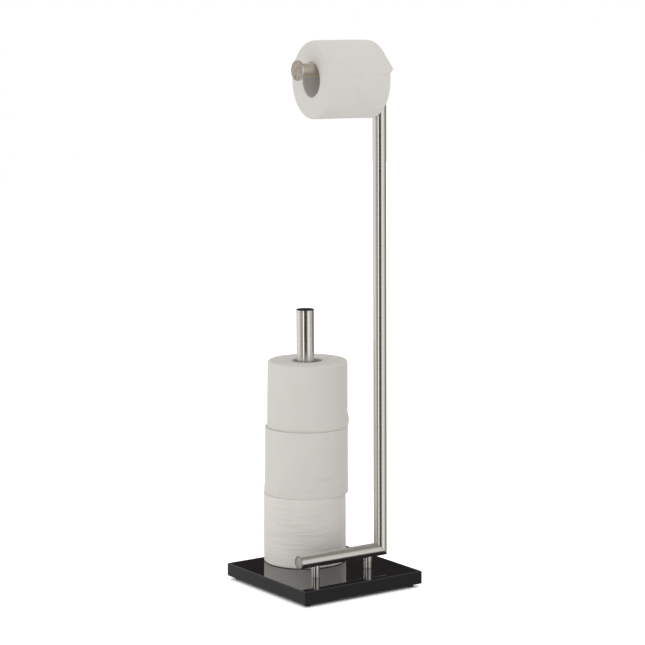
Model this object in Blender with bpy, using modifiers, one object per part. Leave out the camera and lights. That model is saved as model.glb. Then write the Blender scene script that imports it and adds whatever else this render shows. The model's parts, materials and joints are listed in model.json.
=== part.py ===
"""Free-standing toilet roll holder with four rolls.

A polished stone base carries a bent tube frame, whose top arm holds the roll in use,
and an upright rod, which holds the spare rolls. Lengths are in metres and +Z is up.
The origin is on the floor, under the middle of the whole object.
"""

import math

import bmesh
import bpy
from mathutils import Matrix, Vector

# Fits shared by all pieces
SEAT_GAP = 0.0003
CUT_OVERRUN = 0.002
MERGE_DISTANCE = 0.00001

# Square stone base and its feet. Its side is worked out from what stands on it
BASE_THICKNESS = 0.0185
BASE_CHAMFER = 0.0010
FOOT_DIAMETER = 0.0105
FOOT_HEIGHT = 0.0050
FOOT_ROUNDING = 0.0008
FOOT_INSET = 0.0122

# Bent tube frame
TUBE_DIAMETER = 0.0190
TUBE_WALL = 0.0013
FRAME_SETBACK = 0.0583
UPRIGHT_INSET = 0.0305
RAIL_REACH = 0.1406
ARM_RISE = 0.6833
ARM_SPARE_LENGTH = 0.0296
MITRE_REACH_SHARE = 4
RAIL_PLUG_RECESS = 0.0004
RAIL_PLUG_LENGTH = 0.0100
PLUG_CHAMFER = 0.0004
DISC_LIP = 0.0045
DISC_THICKNESS = 0.0032
DISC_EDGE = 0.0005
SPIGOT_LENGTH = 0.0120

# Posts under the rail, each set in from the rail's end or from the upright
POST_DIAMETER = 0.0120
POST_HEIGHT = 0.0154
POST_LEFT_INSET = 0.0280
POST_RIGHT_INSET = 0.0224
POST_ROOF = 0.0044
SADDLE_REACH_SHARE = 2

# Rod for the spare rolls
ROD_DIAMETER = 0.0256
ROD_WALL = 0.0013
ROD_HEIGHT = 0.3664
ROD_INSET = 0.0472
ROD_TO_UPRIGHT = 0.0632
ROLL_TO_RAIL = 0.0250
ROD_CAP_RIM = 0.0007
ROD_CAP_DOME = 0.0006
ROD_CAP_SPIGOT = 0.0090
FOOT_PLUG_HEIGHT = 0.0120

# Screws and washers under the base
POST_SCREW_DIAMETER = 0.0060
ROD_SCREW_DIAMETER = 0.0080
SCREW_HEAD_SHARE = 1.7
SCREW_HEAD_HEIGHT_SHARE = 0.55
SOCKET_SHARE = 0.8
SOCKET_DEPTH_SHARE = 0.4
WASHER_SHARE = 2.6
WASHER_THICKNESS = 0.0015
HEAD_COVER = 0.0010
RECESS_MARGIN = 0.0010
THREAD_CLEARANCE = 0.0003

# Roll in use, which hangs on the arm a little askew
TOP_ROLL_DIAMETER = 0.1071
TOP_ROLL_LENGTH = 0.0960
TOP_CORE_BORE = 0.0468
TOP_ROLL_PLACE_SHARE = 0.75
TOP_ROLL_SKEW_DEG = -4.5
CORE_WALL = 0.0008
CORE_RECESS = 0.0006
PAPER_ROUNDING = 0.0014

# Loose last sheet of the roll in use
TAIL_THICKNESS = 0.0005
TAIL_START_DEG = 104.0
TAIL_END_DEG = 14.5
TAIL_LIFT_DEG = 34.0
TAIL_LIFT = 0.0016
TAIL_SIDE_MARGIN = 0.0020
TAIL_OVERHANG = 0.0028

# Spare rolls, from the lowest up, each shifted along X by a share of its play round the rod
SPARE_CORE_BORE = 0.0416
SPARE_NAMES = ("bottom", "middle", "top")
SPARE_DIAMETERS = (0.1182, 0.1200, 0.1158)
SPARE_LENGTHS = (0.1000, 0.0957, 0.0963)
SPARE_SHIFT_SHARES = (-0.35, 0.10, 0.39)

# Facets round each kind of piece
HEXAGON_SIDES = 6
TUBE_STEPS = 32
ROLL_STEPS = 56
CORE_STEPS = 40
SMALL_STEPS = 24
FOOT_STEPS = 20
TAIL_ROUND_STEPS = 24
TAIL_LENGTH_STEPS = 10
ARC_STEPS = 3
DOME_STEPS = 2
SHARP_DEG = 35.0

# Places worked out from the sizes
tube_radius = TUBE_DIAMETER / 2
tube_bore_radius = tube_radius - TUBE_WALL
rod_radius = ROD_DIAMETER / 2
rod_bore_radius = rod_radius - ROD_WALL
widest_roll_radius = max(SPARE_DIAMETERS) / 2
rod_setback = tube_radius + ROLL_TO_RAIL + widest_roll_radius
base_side = FRAME_SETBACK + rod_setback + ROD_INSET
half_base = base_side / 2
base_bottom = FOOT_HEIGHT
base_top = base_bottom + BASE_THICKNESS

spare_overhang = widest_roll_radius - ROD_INSET
base_y = -max(spare_overhang, 0.0) / 2
frame_y = base_y - half_base + FRAME_SETBACK
rod_y = frame_y + rod_setback

upright_x = half_base - UPRIGHT_INSET
rail_end_x = upright_x - RAIL_REACH
rod_x = upright_x - ROD_TO_UPRIGHT
post_xs = {"left": rail_end_x + POST_LEFT_INSET, "right": upright_x - POST_RIGHT_INSET}
rail_z = base_top + POST_HEIGHT + tube_radius
arm_z = rail_z + ARM_RISE
free_arm = TOP_ROLL_LENGTH + ARM_SPARE_LENGTH
disc_back_x = upright_x - tube_radius - free_arm
disc_face_x = disc_back_x - DISC_THICKNESS
arm_end_x = disc_back_x + SEAT_GAP

top_core_radius = TOP_CORE_BORE / 2
top_roll_radius = TOP_ROLL_DIAMETER / 2
skew = math.radians(TOP_ROLL_SKEW_DEG)
skew_drift = TOP_ROLL_LENGTH / 2 * math.sin(skew)
core_play = top_core_radius - tube_radius - SEAT_GAP
top_roll_drop = math.sqrt(core_play ** 2 - skew_drift ** 2)
top_roll_z = arm_z - top_roll_drop
top_roll_run = TOP_ROLL_LENGTH * math.cos(skew)
top_roll_x = disc_back_x + (free_arm - top_roll_run) * TOP_ROLL_PLACE_SHARE + top_roll_run / 2

spare_play = SPARE_CORE_BORE / 2 - rod_radius - SEAT_GAP


def start_scene():
    """Empty the file and return the collections for the pieces and the cutters."""
    for old in list(bpy.data.objects):
        bpy.data.objects.remove(old, do_unlink=True)
    parts = bpy.data.collections.new("toilet_roll_holder")
    cutters = bpy.data.collections.new("cutters")
    for collection in (parts, cutters):
        bpy.context.scene.collection.children.link(collection)
    return parts, cutters


def finish(name, colour, roughness, metallic=0.0):
    """Make a plain material of one colour."""
    material = bpy.data.materials.new(name)
    material.use_nodes = True
    shader = material.node_tree.nodes["Principled BSDF"]
    shader.inputs["Base Color"].default_value = (*colour, 1.0)
    shader.inputs["Roughness"].default_value = roughness
    shader.inputs["Metallic"].default_value = metallic
    return material


def add_object(name, mesh, place, material=None):
    """Link an object that shows a mesh, and give it its material."""
    piece = bpy.data.objects.new(name, mesh)
    place.objects.link(piece)
    if material:
        mesh.materials.append(material)
    return piece


def turned(name, outline, steps, place, material=None, closed=False):
    """Turn an outline of (radius, height) points about Z with a Screw modifier.

    The outline runs down the outer side. A closed one has its last point joined to its first.
    """
    mesh = bpy.data.meshes.new(name)
    points = [(radius, 0.0, height) for radius, height in outline]
    edges = [(i, i + 1) for i in range(len(points) - 1)]
    if closed:
        edges.append((len(points) - 1, 0))
    mesh.from_pydata(points, edges, [])
    piece = add_object(name, mesh, place, material)
    screw = piece.modifiers.new("turn", "SCREW")
    screw.axis = "Z"
    screw.steps = steps
    screw.render_steps = steps
    screw.use_merge_vertices = True
    screw.merge_threshold = MERGE_DISTANCE
    return piece


def ring_outline(outer, inner, low, high):
    """The closed outline of a plain tube or washer."""
    return [(outer, high), (outer, low), (inner, low), (inner, high)]


def solid_outline(radius, low, high):
    """The outline of a plain cylinder."""
    return [(0.0, high), (radius, high), (radius, low), (0.0, low)]


def arc(centre, radius, start_deg, end_deg, steps=ARC_STEPS):
    """Points along an arc in the outline's plane, both ends included."""
    points = []
    for i in range(steps + 1):
        angle = math.radians(start_deg + (end_deg - start_deg) * i / steps)
        points.append((centre[0] + radius * math.cos(angle), centre[1] + radius * math.sin(angle)))
    return points


def cut(piece, cutter):
    """Subtract a cutter, which stays out of the picture, from a piece."""
    cutter.hide_render = True
    cutter.display_type = "WIRE"
    boolean = piece.modifiers.new("cut_" + cutter.name, "BOOLEAN")
    boolean.operation = "DIFFERENCE"
    boolean.solver = "EXACT"
    boolean.object = cutter


def along_x(piece, x, y, z):
    """Lay a turned piece down, so that its height runs along +X from the given place."""
    piece.matrix_world = Matrix.Translation((x, y, z)) @ Matrix.Rotation(math.pi / 2, 4, "Y")


def box_beyond(name, point, direction, reach, cutters):
    """A cutting cube whose near face is at a point and which lies beyond it."""
    mesh = bpy.data.meshes.new(name)
    cube = bmesh.new()
    bmesh.ops.create_cube(cube, size=reach)
    cube.to_mesh(mesh)
    cube.free()
    box = add_object(name, mesh, cutters)
    direction = direction.normalized()
    turn = direction.to_track_quat("Z", "Y").to_matrix().to_4x4()
    box.matrix_world = Matrix.Translation(point + direction * reach / 2) @ turn
    return box


def mitre(piece, corner, kept_side, cutters):
    """Cut a tube at 45 degrees at a corner, half a gap away from the joint's plane."""
    kept_side = kept_side.normalized()
    start = corner + kept_side * SEAT_GAP / 2
    name = "mitre_" + piece.name + ("_top" if corner.z > rail_z else "_bottom")
    cut(piece, box_beyond(name, start, -kept_side, TUBE_DIAMETER * MITRE_REACH_SHARE, cutters))


def recess_top(screw_diameter):
    """The height of a recess's ceiling, which keeps a screw's head and washer above the slab's bottom."""
    head_height = screw_diameter * SCREW_HEAD_HEIGHT_SHARE
    return base_bottom + HEAD_COVER + head_height + SEAT_GAP + WASHER_THICKNESS + SEAT_GAP


def make_base(parts, cutters, stone):
    """The stone slab, with a stepped hole from below for each screw."""
    mesh = bpy.data.meshes.new("base_plate")
    slab = bmesh.new()
    bmesh.ops.create_cube(slab, size=1.0)
    bmesh.ops.scale(slab, vec=(base_side, base_side, BASE_THICKNESS), verts=slab.verts)
    slab.to_mesh(mesh)
    slab.free()
    base = add_object("base_plate", mesh, parts, stone)
    base.location = (0.0, base_y, base_bottom + BASE_THICKNESS / 2)
    chamfer = base.modifiers.new("chamfer", "BEVEL")
    chamfer.width = BASE_CHAMFER
    chamfer.segments = 1
    holes = [("post_hole_" + side, x, frame_y, POST_SCREW_DIAMETER) for side, x in post_xs.items()]
    holes.append(("rod_hole", rod_x, rod_y, ROD_SCREW_DIAMETER))
    for name, x, y, screw_diameter in holes:
        hole_radius = screw_diameter / 2 + THREAD_CLEARANCE
        recess_radius = screw_diameter * WASHER_SHARE / 2 + RECESS_MARGIN
        outline = [
            (0.0, base_top + CUT_OVERRUN),
            (hole_radius, base_top + CUT_OVERRUN),
            (hole_radius, recess_top(screw_diameter)),
            (recess_radius, recess_top(screw_diameter)),
            (recess_radius, base_bottom - CUT_OVERRUN),
            (0.0, base_bottom - CUT_OVERRUN),
        ]
        cutter = turned(name, outline, SMALL_STEPS, cutters)
        cutter.location = (x, y, 0.0)
        cut(base, cutter)


def make_feet(parts, rubber):
    """Four round feet under the slab's corners."""
    radius = FOOT_DIAMETER / 2
    top = FOOT_HEIGHT - SEAT_GAP
    outline = [(0.0, top), (radius, top)]
    outline += arc((radius - FOOT_ROUNDING, FOOT_ROUNDING), FOOT_ROUNDING, 0, -90)
    outline.append((0.0, 0.0))
    reach = half_base - FOOT_INSET
    for depth_name, depth_side in (("front", -1), ("back", 1)):
        for side_name, side in (("left", -1), ("right", 1)):
            foot = turned("foot_" + depth_name + "_" + side_name, outline, FOOT_STEPS, parts, rubber)
            foot.location = (side * reach, base_y + depth_side * reach, 0.0)


def make_tube(name, length, parts, steel):
    """A length of the frame's tube, standing on its origin."""
    outline = ring_outline(tube_radius, tube_bore_radius, 0.0, length)
    return turned(name, outline, TUBE_STEPS, parts, steel, closed=True)


def make_frame(parts, cutters, steel):
    """The rail, the upright and the arm, mitred where they meet, with the ends closed."""
    low_corner = Vector((upright_x, frame_y, rail_z))
    high_corner = Vector((upright_x, frame_y, arm_z))

    rail = make_tube("bottom_rail", RAIL_REACH + tube_radius, parts, steel)
    along_x(rail, rail_end_x, frame_y, rail_z)
    mitre(rail, low_corner, Vector((-1, 0, -1)), cutters)

    upright = make_tube("upright_tube", ARM_RISE + TUBE_DIAMETER, parts, steel)
    upright.location = (upright_x, frame_y, rail_z - tube_radius)
    mitre(upright, low_corner, Vector((1, 0, 1)), cutters)
    mitre(upright, high_corner, Vector((1, 0, -1)), cutters)

    arm = make_tube("top_arm", upright_x + tube_radius - arm_end_x, parts, steel)
    along_x(arm, arm_end_x, frame_y, arm_z)
    mitre(arm, high_corner, Vector((-1, 0, 1)), cutters)

    plug_radius = tube_bore_radius - SEAT_GAP
    outline = [
        (0.0, RAIL_PLUG_LENGTH),
        (plug_radius, RAIL_PLUG_LENGTH),
        (plug_radius, PLUG_CHAMFER),
        (plug_radius - PLUG_CHAMFER, 0.0),
        (0.0, 0.0),
    ]
    plug = turned("rail_end_plug", outline, TUBE_STEPS, parts, steel)
    along_x(plug, rail_end_x + RAIL_PLUG_RECESS, frame_y, rail_z)

    disc_radius = tube_radius + DISC_LIP
    outline = [
        (0.0, DISC_THICKNESS + SPIGOT_LENGTH),
        (plug_radius, DISC_THICKNESS + SPIGOT_LENGTH),
        (plug_radius, DISC_THICKNESS),
        (disc_radius - DISC_EDGE, DISC_THICKNESS),
        (disc_radius, DISC_THICKNESS - DISC_EDGE),
        (disc_radius, DISC_EDGE),
        (disc_radius - DISC_EDGE, 0.0),
        (0.0, 0.0),
    ]
    disc = turned("arm_end_disc", outline, TUBE_STEPS, parts, steel)
    along_x(disc, disc_face_x, frame_y, arm_z)


def make_screw(name, diameter, tip_z, x, y, parts, cutters, steel):
    """One screw from below with a hexagon socket in its head, and the washer above its head."""
    radius = diameter / 2
    washer_top = recess_top(diameter) - SEAT_GAP
    washer_bottom = washer_top - WASHER_THICKNESS
    seat = washer_bottom - SEAT_GAP
    head_radius = radius * SCREW_HEAD_SHARE
    head_bottom = seat - diameter * SCREW_HEAD_HEIGHT_SHARE
    outline = [
        (0.0, tip_z),
        (radius, tip_z),
        (radius, seat),
        (head_radius, seat),
        (head_radius, head_bottom),
        (0.0, head_bottom),
    ]
    screw = turned(name + "_screw", outline, SMALL_STEPS, parts, steel)
    screw.location = (x, y, 0.0)
    socket_top = head_bottom + diameter * SOCKET_DEPTH_SHARE
    outline = solid_outline(radius * SOCKET_SHARE, head_bottom - CUT_OVERRUN, socket_top)
    socket = turned(name + "_socket", outline, HEXAGON_SIDES, cutters)
    socket.location = screw.location
    cut(screw, socket)
    outline = ring_outline(radius * WASHER_SHARE, radius + THREAD_CLEARANCE, washer_bottom, washer_top)
    washer = turned(name + "_washer", outline, SMALL_STEPS, parts, steel, closed=True)
    washer.location = screw.location


def make_posts(parts, cutters, steel, bright_steel):
    """The two posts under the rail, each hollowed round the rail and held by a screw."""
    post_radius = POST_DIAMETER / 2
    bore_radius = POST_SCREW_DIAMETER / 2 + THREAD_CLEARANCE
    bottom = base_top + SEAT_GAP
    bore_top = base_top + POST_HEIGHT - POST_ROOF
    saddle_length = POST_DIAMETER * SADDLE_REACH_SHARE
    for side, x in post_xs.items():
        outline = [
            (0.0, rail_z),
            (post_radius, rail_z),
            (post_radius, bottom),
            (bore_radius, bottom),
            (bore_radius, bore_top),
            (0.0, bore_top),
        ]
        post = turned("rail_post_" + side, outline, SMALL_STEPS, parts, steel)
        post.location = (x, frame_y, 0.0)
        outline = solid_outline(tube_radius + SEAT_GAP, 0.0, saddle_length)
        saddle = turned("saddle_" + side, outline, TUBE_STEPS, cutters)
        along_x(saddle, x - saddle_length / 2, frame_y, rail_z)
        cut(post, saddle)
        tip_z = bore_top - THREAD_CLEARANCE
        make_screw("post_" + side, POST_SCREW_DIAMETER, tip_z, x, frame_y, parts, cutters, bright_steel)


def make_rod(parts, cutters, steel, bright_steel, plastic):
    """The rod for the spare rolls, with its cap, its foot plug and the screw from below."""
    bottom = base_top + SEAT_GAP
    top = base_top + ROD_HEIGHT - ROD_CAP_RIM - ROD_CAP_DOME
    outline = ring_outline(rod_radius, rod_bore_radius, bottom, top)
    rod = turned("spare_rod", outline, TUBE_STEPS, parts, steel, closed=True)
    rod.location = (rod_x, rod_y, 0.0)

    inner_radius = rod_bore_radius - SEAT_GAP
    rim_bottom = top + SEAT_GAP
    rim_top = top + ROD_CAP_RIM
    outline = []
    for i in range(DOME_STEPS + 1):
        radius_share = i / DOME_STEPS
        outline.append((rod_radius * radius_share, rim_top + ROD_CAP_DOME * (1 - radius_share ** 2)))
    outline += [
        (rod_radius, rim_bottom),
        (inner_radius, rim_bottom),
        (inner_radius, top - ROD_CAP_SPIGOT),
        (0.0, top - ROD_CAP_SPIGOT),
    ]
    cap = turned("rod_cap", outline, TUBE_STEPS, parts, plastic)
    cap.location = rod.location

    bore_radius = ROD_SCREW_DIAMETER / 2 + THREAD_CLEARANCE
    outline = ring_outline(inner_radius, bore_radius, bottom, bottom + FOOT_PLUG_HEIGHT)
    foot_plug = turned("rod_foot_plug", outline, TUBE_STEPS, parts, bright_steel, closed=True)
    foot_plug.location = rod.location
    tip_z = bottom + FOOT_PLUG_HEIGHT
    make_screw("rod", ROD_SCREW_DIAMETER, tip_z, rod_x, rod_y, parts, cutters, bright_steel)


def roll_outlines(diameter, length, core_bore):
    """Closed outlines of a roll's cardboard core and of the paper wound on it, about mid length."""
    half = length / 2
    core_radius = core_bore / 2
    core = ring_outline(core_radius + CORE_WALL, core_radius, CORE_RECESS - half, half - CORE_RECESS)
    inner = core_radius + CORE_WALL + SEAT_GAP
    outer = diameter / 2
    corner = (outer - PAPER_ROUNDING, half - PAPER_ROUNDING)
    paper = [(inner, half)]
    paper += arc(corner, PAPER_ROUNDING, 90, 0)
    paper += arc((corner[0], -corner[1]), PAPER_ROUNDING, 0, -90)
    paper.append((inner, -half))
    return core, paper


def make_top_roll(parts, paper, cardboard):
    """The roll in use, on an axis that hangs below the arm, with its loose last sheet."""
    axis = bpy.data.objects.new("top_roll_axis", None)
    parts.objects.link(axis)
    axis.matrix_world = Matrix.Translation((top_roll_x, frame_y, top_roll_z)) @ Matrix.Rotation(skew, 4, "Z")
    core_outline, paper_outline = roll_outlines(TOP_ROLL_DIAMETER, TOP_ROLL_LENGTH, TOP_CORE_BORE)
    core = turned("top_roll_core", core_outline, CORE_STEPS, parts, cardboard, closed=True)
    wound = turned("top_roll_paper", paper_outline, ROLL_STEPS, parts, paper, closed=True)
    for piece in (core, wound):
        piece.parent = axis
        piece.rotation_euler = (0.0, math.pi / 2, 0.0)
    make_tail(axis, parts, paper)


def make_tail(axis, parts, paper):
    """The last sheet, which lies on the roll's front and lifts off towards its far corner."""
    mesh = bpy.data.meshes.new("top_roll_tail")
    grid = bmesh.new()
    bmesh.ops.create_grid(grid, x_segments=TAIL_LENGTH_STEPS, y_segments=TAIL_ROUND_STEPS, size=1.0)
    near_end = TAIL_SIDE_MARGIN - TOP_ROLL_LENGTH / 2
    far_end = TOP_ROLL_LENGTH / 2 + TAIL_OVERHANG
    for vertex in grid.verts:
        along_share = (vertex.co.x + 1.0) / 2
        round_share = (vertex.co.y + 1.0) / 2
        angle_deg = TAIL_START_DEG + (TAIL_END_DEG - TAIL_START_DEG) * round_share
        lifted_share = max(0.0, (TAIL_LIFT_DEG - angle_deg) / (TAIL_LIFT_DEG - TAIL_END_DEG))
        radius = top_roll_radius + SEAT_GAP + TAIL_LIFT * (lifted_share * along_share) ** 2
        angle = math.radians(angle_deg)
        x = near_end + (far_end - near_end) * along_share
        vertex.co = (x, -radius * math.cos(angle), radius * math.sin(angle))
    grid.to_mesh(mesh)
    grid.free()
    tail = add_object("top_roll_tail", mesh, parts, paper)
    tail.parent = axis
    sheet = tail.modifiers.new("thickness", "SOLIDIFY")
    sheet.thickness = TAIL_THICKNESS
    sheet.offset = -1.0


def make_spare_rolls(parts, paper, cardboard):
    """The spare rolls, stacked on the base round the rod."""
    floor = base_top
    rolls = zip(SPARE_NAMES, SPARE_DIAMETERS, SPARE_LENGTHS, SPARE_SHIFT_SHARES)
    for name, diameter, length, shift_share in rolls:
        core_outline, paper_outline = roll_outlines(diameter, length, SPARE_CORE_BORE)
        core = turned("spare_core_" + name, core_outline, CORE_STEPS, parts, cardboard, closed=True)
        wound = turned("spare_paper_" + name, paper_outline, ROLL_STEPS, parts, paper, closed=True)
        for piece in (core, wound):
            piece.location = (rod_x + spare_play * shift_share, rod_y, floor + SEAT_GAP + length / 2)
        floor += SEAT_GAP + length


def make_final(parts):
    """Make every modifier final, and shade each piece smooth between its sharp edges."""
    bpy.context.view_layer.update()
    scene_state = bpy.context.evaluated_depsgraph_get()
    pieces = [piece for piece in parts.objects if piece.type == "MESH"]
    meshes = [bpy.data.meshes.new_from_object(piece.evaluated_get(scene_state)) for piece in pieces]
    for piece, mesh in zip(pieces, meshes):
        mesh.shade_smooth()
        mesh.set_sharp_from_angle(angle=math.radians(SHARP_DEG))
        piece.modifiers.clear()
        piece.data = mesh


def main():
    parts, cutters = start_scene()
    stone = finish("polished_black_stone", (0.012, 0.012, 0.013), 0.05)
    rubber = finish("black_rubber", (0.015, 0.015, 0.015), 0.8)
    steel = finish("satin_steel", (0.77, 0.74, 0.69), 0.25, 1.0)
    bright_steel = finish("zinc_plated_steel", (0.55, 0.56, 0.58), 0.35, 1.0)
    plastic = finish("black_plastic", (0.012, 0.012, 0.012), 0.3)
    paper = finish("tissue_paper", (0.66, 0.64, 0.60), 0.95)
    cardboard = finish("grey_cardboard", (0.60, 0.58, 0.56), 0.9)
    make_base(parts, cutters, stone)
    make_feet(parts, rubber)
    make_frame(parts, cutters, steel)
    make_posts(parts, cutters, steel, bright_steel)
    make_rod(parts, cutters, steel, bright_steel, plastic)
    make_top_roll(parts, paper, cardboard)
    make_spare_rolls(parts, paper, cardboard)
    make_final(parts)


main()
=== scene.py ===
"""The looks of a free-standing toilet roll holder, modelled and finished round its frame.

Lengths are in metres, +Z is up and +X runs along the arm towards the upright.
"""

import json
import math

import bpy
from bpy.props import FloatProperty, FloatVectorProperty, PointerProperty
from mathutils import Euler, Matrix, Vector, noise

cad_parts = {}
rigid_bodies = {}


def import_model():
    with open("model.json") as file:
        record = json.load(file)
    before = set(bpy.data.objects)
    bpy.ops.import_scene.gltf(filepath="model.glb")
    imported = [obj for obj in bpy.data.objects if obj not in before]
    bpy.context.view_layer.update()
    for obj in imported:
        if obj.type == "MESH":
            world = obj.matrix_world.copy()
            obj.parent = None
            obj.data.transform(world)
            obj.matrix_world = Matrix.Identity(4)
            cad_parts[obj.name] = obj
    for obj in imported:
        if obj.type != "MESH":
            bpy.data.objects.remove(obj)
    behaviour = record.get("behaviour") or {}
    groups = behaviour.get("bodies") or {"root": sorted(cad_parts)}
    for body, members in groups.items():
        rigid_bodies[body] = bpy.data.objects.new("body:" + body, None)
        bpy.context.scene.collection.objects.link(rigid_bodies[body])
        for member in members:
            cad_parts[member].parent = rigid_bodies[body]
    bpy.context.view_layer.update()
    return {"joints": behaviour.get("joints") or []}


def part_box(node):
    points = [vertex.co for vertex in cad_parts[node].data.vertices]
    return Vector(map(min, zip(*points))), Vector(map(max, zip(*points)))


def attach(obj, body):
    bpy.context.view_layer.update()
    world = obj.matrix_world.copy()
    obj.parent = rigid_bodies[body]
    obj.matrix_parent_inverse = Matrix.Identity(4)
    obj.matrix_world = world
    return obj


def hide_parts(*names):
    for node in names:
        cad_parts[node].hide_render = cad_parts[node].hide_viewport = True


bl_info = {
    "name": "Toilet Roll Holder",
    "version": (1, 0, 0),
    "blender": (4, 5, 0),
    "location": "View3D > Sidebar > Roll Holder",
    "description": "Models and finishes a free-standing toilet roll holder with its rolls",
    "category": "Object",
}

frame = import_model()

# Facets round each kind of piece
TUBE_STEPS = 128
ROLL_STEPS = 240
CORE_STEPS = 96
SMALL_STEPS = 64
HEXAGON_SIDES = 6

MERGE_DISTANCE = 0.000005
SMOOTH_DEG = 32
FACES_LEFT = -0.85
FACES_SLANTED_UP = 0.3
FACES_UP = 0.95

# Pieces that repeat, and a screw's head and socket as shares of its shank
FEET = ("foot_front_left", "foot_front_right", "foot_back_left", "foot_back_right")
SCREWS = ("post_left", "post_right", "rod")
HEAD_SHARE = 1.7
SOCKET_SHARE = 0.8

# Scratches per metre, across a brushed tube's grain and along it
FINE_SCRATCHES = 3000
LONG_SCRATCHES = 20

# Directions round the spare rolls, in degrees from +X: the front and its two sides
FRONT_DEG = -124.5
RIGHT_DEG = -34.5
LEFT_DEG = 145.5

# What sets the spare rolls apart. Painted light: each roll's paper colour is a share of the paper's, lightest
# on the lowest roll. The wrinkles reach up to a share of a roll's height, and the rows of creases and bulges
# are read by Wrap
SPARE_PAINTED_LIGHT = {"bottom": 1.08, "middle": 1.01, "top": 1.0}
WRINKLED_TO = {"bottom": 1.2, "middle": 0.45, "top": 0.0}
CREASES = {
    "bottom": (),
    "middle": ((-96, 0.285, 0.02, 22, 0.4), ),
    "top": ((-18, 0.30, 0.10, 26, 1.0), (-8, 0.16, 0.12, 22, 1.0), (-30, 0.22, 0.05, 18, 1.0)),
}
BULGES = {
    "bottom": ((LEFT_DEG, 0.3, 60, 0.5, 0.0007), ),
    "middle": ((LEFT_DEG, 0.05, 14, 0.07, 0.0010), (LEFT_DEG, 0.0, 50, 0.5, 0.0009),
               (LEFT_DEG, 1.0, 50, 0.5, -0.0002), (RIGHT_DEG, 0.50, 40, 0.60, -0.0003)),
    "top": ((RIGHT_DEG, 0.09, 14, 0.10, 0.0019), (LEFT_DEG, 0.0, 50, 0.5, 0.0008),
            (LEFT_DEG, 1.0, 50, 0.5, -0.0007)),
}
CREASE_IN_USE = (-70, 0.465, 0.19, 24, 0.15)

# Slumps of the roll in use at its near end (-1) and its far end (1), also read by Wrap
SLUMPS_IN_USE = ((-1, 145, 38, 0.0026, 0.008), (-1, 80, 40, -0.0009, 0.020),
                 (1, -150, 35, 0.0026, 0.010), (1, 0, 60, -0.0011, 0.030))

# Seeds of the rolls' noise, counted upwards from the lowest spare roll's
SEED_OF_LOWEST = 3
SEED_IN_USE = 11

# Shares of the gap under the lowest spare roll, and between two of them, that their soft paper fills
FILLED_BELOW = 0.33
FILLED_BETWEEN = 0.42

# The stage's soft lamp and floor, the colour of its light, and the room that glossy surfaces mirror
LAMP_PLACE = (-2.55, 0.9, 0.45)
LAMP_AIM = (0, 0, 0.4)
LAMP_SIZE = 1.8
FLOOR_SIZE = 14
WHITE = (1.0, 1.0, 1.0)
AMBIENT_TINT = (1.0, 0.995, 0.985)
DIM_ROOM = (0.26, 0.25, 0.225)
DARK_ROOM = (0.040, 0.036, 0.033)
FLOOR_COLOUR = (0.92, 0.92, 0.92)

# Where the dim and dark parts of the mirrored room fade in or out: heights of a direction, how far it faces
# the camera, and degrees away from the camera
OVERHEAD = (0.46, 0.74)
FAR_SIDE = (-0.75, -0.5)
UNDERFOOT = (-0.6, -0.32)
HORIZON = (-0.02, 0.03)
DARK_TO = (0.35, 0.6)
BEHIND_DEG = (118, 150)

# Ring of panels: bearings in degrees, from towards the camera to its right, and their brightness
PANELS = (
    (-180, 0.60), (-137, 0.80), (-110, 0.84), (-91, 0.96), (-73, 0.66), (-58, 0.42), (-43, 0.31),
    (-34, 0.24), (-30.5, 0.32), (-29, 1.60), (-19.5, 1.60), (-17, 0.50), (-12, 0.10), (-7, 0.04),
    (20, 0.04), (24, 0.30), (30, 0.62), (36, 0.90), (43, 1.02), (61, 0.93), (77, 0.69), (92, 0.54),
    (104, 0.28), (114, 0.12), (128, 0.30), (150, 0.36), (180, 0.60),
)

# The shader node groups that materials share, by name
effects = {}


def a_length(name, description, default):
    """A length in metres that a user can set."""
    return FloatProperty(name=name, description=description, default=default, unit="LENGTH")


def an_angle(name, description, degrees):
    """An angle that a user can set."""
    return FloatProperty(name=name, description=description, default=math.radians(degrees), subtype="ANGLE")


def a_level(name, description, default):
    """A plain number that a user can set."""
    return FloatProperty(name=name, description=description, default=default)


def a_colour(name, description, default):
    """A colour that a user can set."""
    return FloatVectorProperty(name=name, description=description, default=default, subtype="COLOR")


class StandSizes(bpy.types.PropertyGroup):
    """Sizes of the stand that its frame leaves open."""
    stone_chamfer: a_length("Stone chamfer", "Width of the chamfer round the slab's top", 0.0012)
    stone_softening: a_length("Stone softening", "Rounding of the slab's other edges", 0.00025)
    recess_margin: a_length("Recess margin", "Room round a washer in its recess", 0.0010)
    foot_rounding: a_length("Foot rounding", "Rounding round a rubber foot", 0.0010)
    foot_dimple: a_length("Foot dimple", "Depth of the hollow under a foot", 0.0005)
    tube_wall: a_length("Tube wall", "Thickness of the frame tube's wall", 0.0013)
    mitre_gap: a_length("Mitre gap", "Width of the seam at a mitred corner", 0.00004)
    rim_rounding: a_length("Rim rounding", "Rounding of a tube's cut rims", 0.00025)
    disc_thickness: a_length("Disc thickness", "Thickness of the arm's end disc", 0.0032)
    disc_rounding: a_length("Disc rounding", "Rounding of the end disc's rims", 0.0005)
    collar_height: a_length("Collar height", "Height of the rod's collar above its seam", 0.0029)
    seam_depth: a_length("Seam depth", "Depth of the seam under the rod's collar", 0.00012)
    seat_gap: a_length("Seat gap", "Clearance between touching pieces", 0.0003)


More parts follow.
